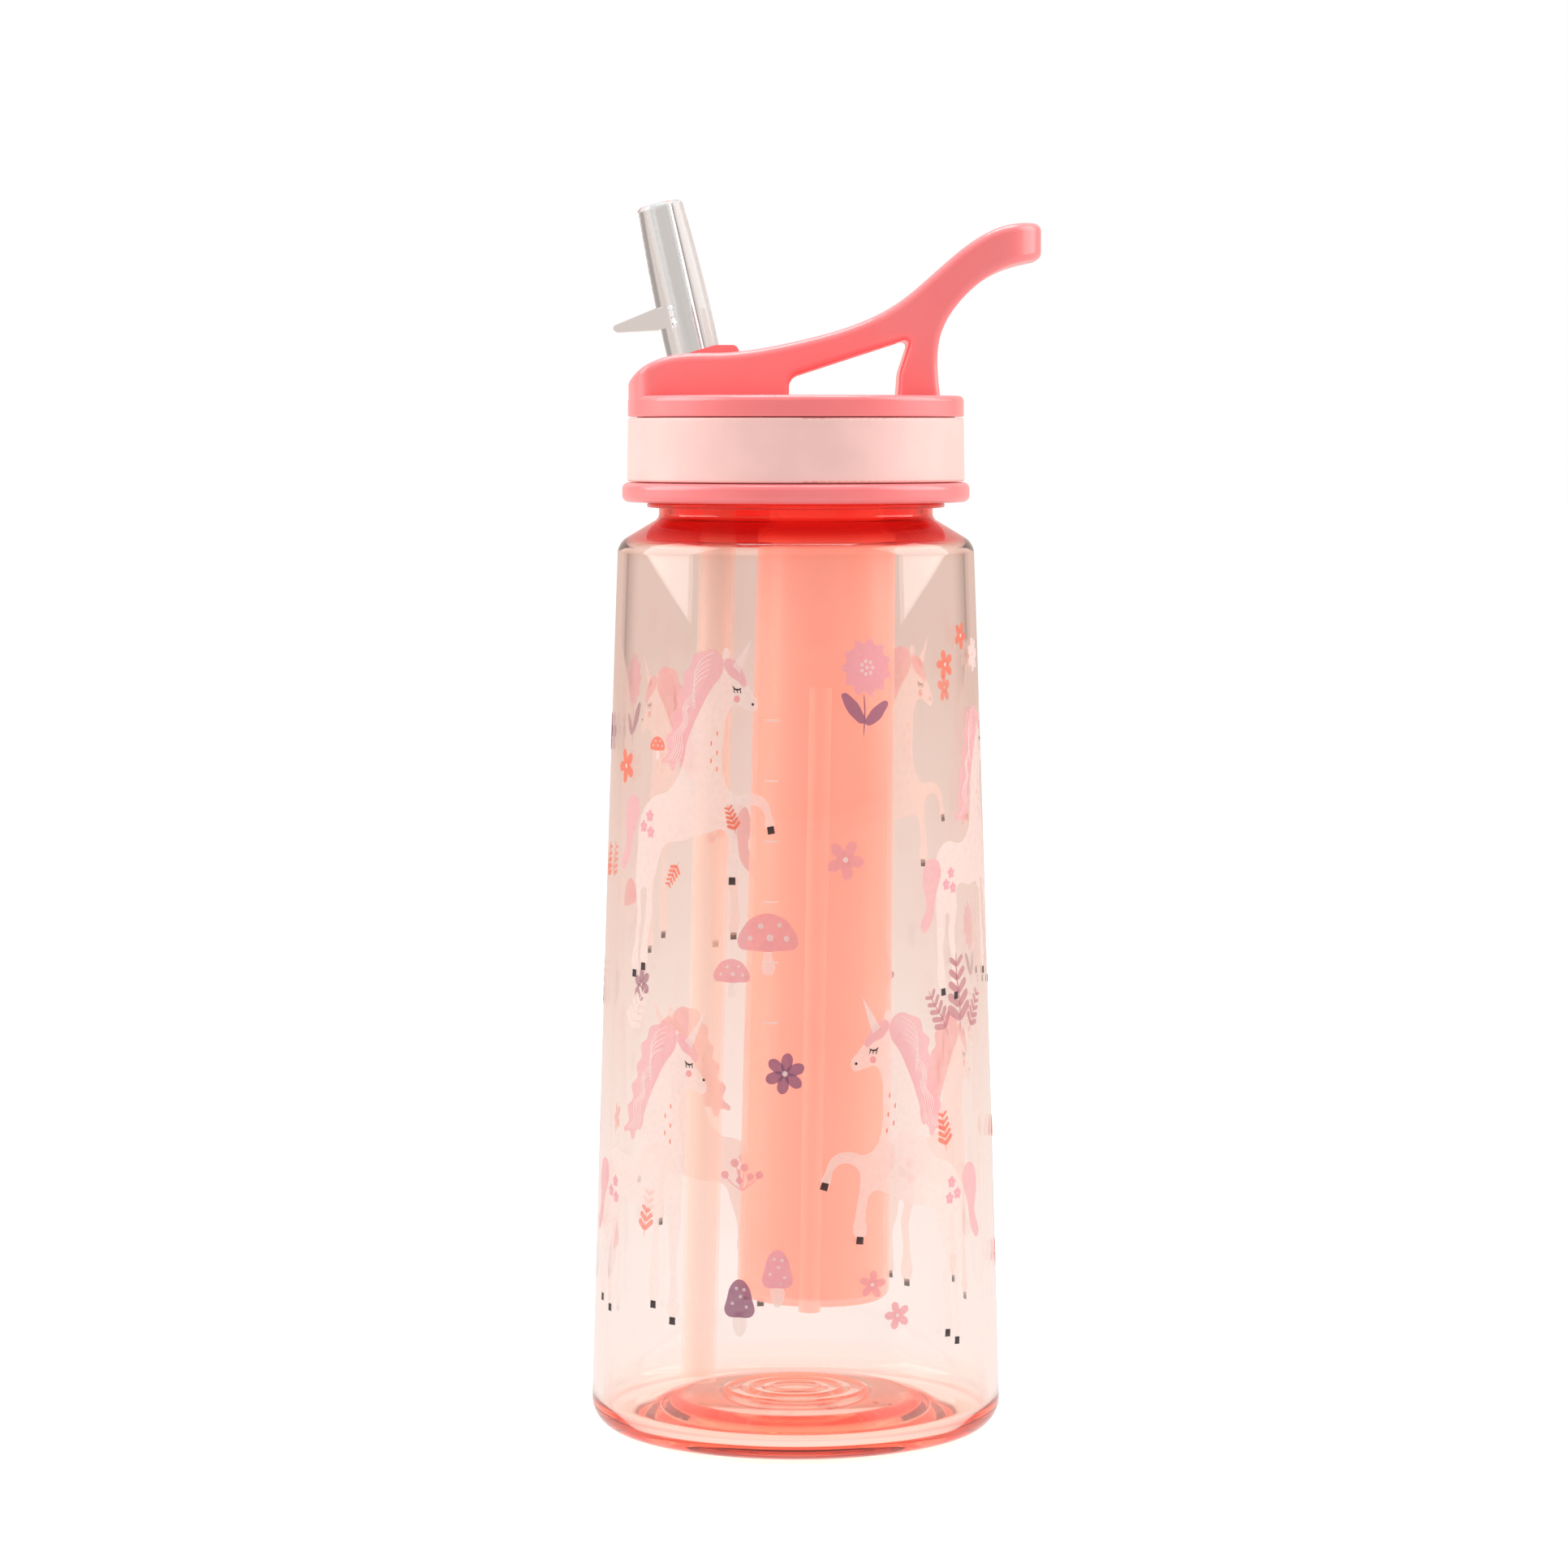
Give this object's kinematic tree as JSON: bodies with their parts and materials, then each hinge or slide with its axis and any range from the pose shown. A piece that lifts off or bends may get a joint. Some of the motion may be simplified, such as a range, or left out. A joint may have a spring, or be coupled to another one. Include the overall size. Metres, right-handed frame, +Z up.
{
  "type": "water bottle",
  "caption": "Tinted drinking bottle with a screw lid, flip-up spout, straw, moulded carrying handle and a removable ice stick.",
  "frame": {"origin": "centre of the foot plane, on the bottle's axis", "axes": "+Z up along the bottle, +X toward the carrying handle, so the open spout leans toward -X"},
  "size_m": [0.0908, 0.0834, 0.249],
  "materials": {
    "tinted_bottle": "clear moulded copolyester, peach tint",
    "coral_plastic": "satin gloss polypropylene",
    "pink_band": "soft satin",
    "clear_spout": "clear polished plastic",
    "peach_straw": "translucent drawn tube",
    "salmon_stick": "translucent moulded tube",
    "gel": "translucent gel",
    "silicone": "satin silicone"
  },
  "bodies": {
    "bottle": {"bottle_body": "tinted_bottle"},
    "seal_ring": {"lid_gasket": "silicone"},
    "lid": {"screw_cap": "coral_plastic", "grip_band": "pink_band", "top_cover": "coral_plastic", "spout_cradle": "coral_plastic", "spout_seal": "silicone", "straw_boot": "silicone", "straw": "peach_straw", "vent_valve": "silicone"},
    "spout_body": {"spout": "clear_spout"},
    "ice_stick": {"ice_stick_tube": "salmon_stick", "ice_stick_plug": "coral_plastic", "ice_stick_ring": "silicone", "ice_gel": "gel"}
  },
  "joints": [
    {"name": "lid_rise", "type": "slide", "parent": "bottle", "child": "seal_ring", "axis": [0, 0, 1], "range_m": [0, 0.00675]},
    {"name": "lid_turn", "type": "hinge", "parent": "seal_ring", "child": "lid", "pos_m": [0, 0, 0.199], "axis": [0, 0, 1], "range_deg": [0, 540]},
    {"name": "spout_flip", "type": "hinge", "parent": "lid", "child": "spout_body", "pos_m": [-0.0192, 0, 0.21099], "axis": [0, 1, 0], "range_deg": [0, 85]},
    {"name": "stick_pull", "type": "slide", "parent": "lid", "child": "ice_stick", "axis": [-0.0175, 0, -0.9998], "range_m": [0, 0.012]}
  ],
  "couplings": [
    {"joint": "lid_rise", "follows": "lid_turn", "m_per_rad": 0.0007162}
  ]
}
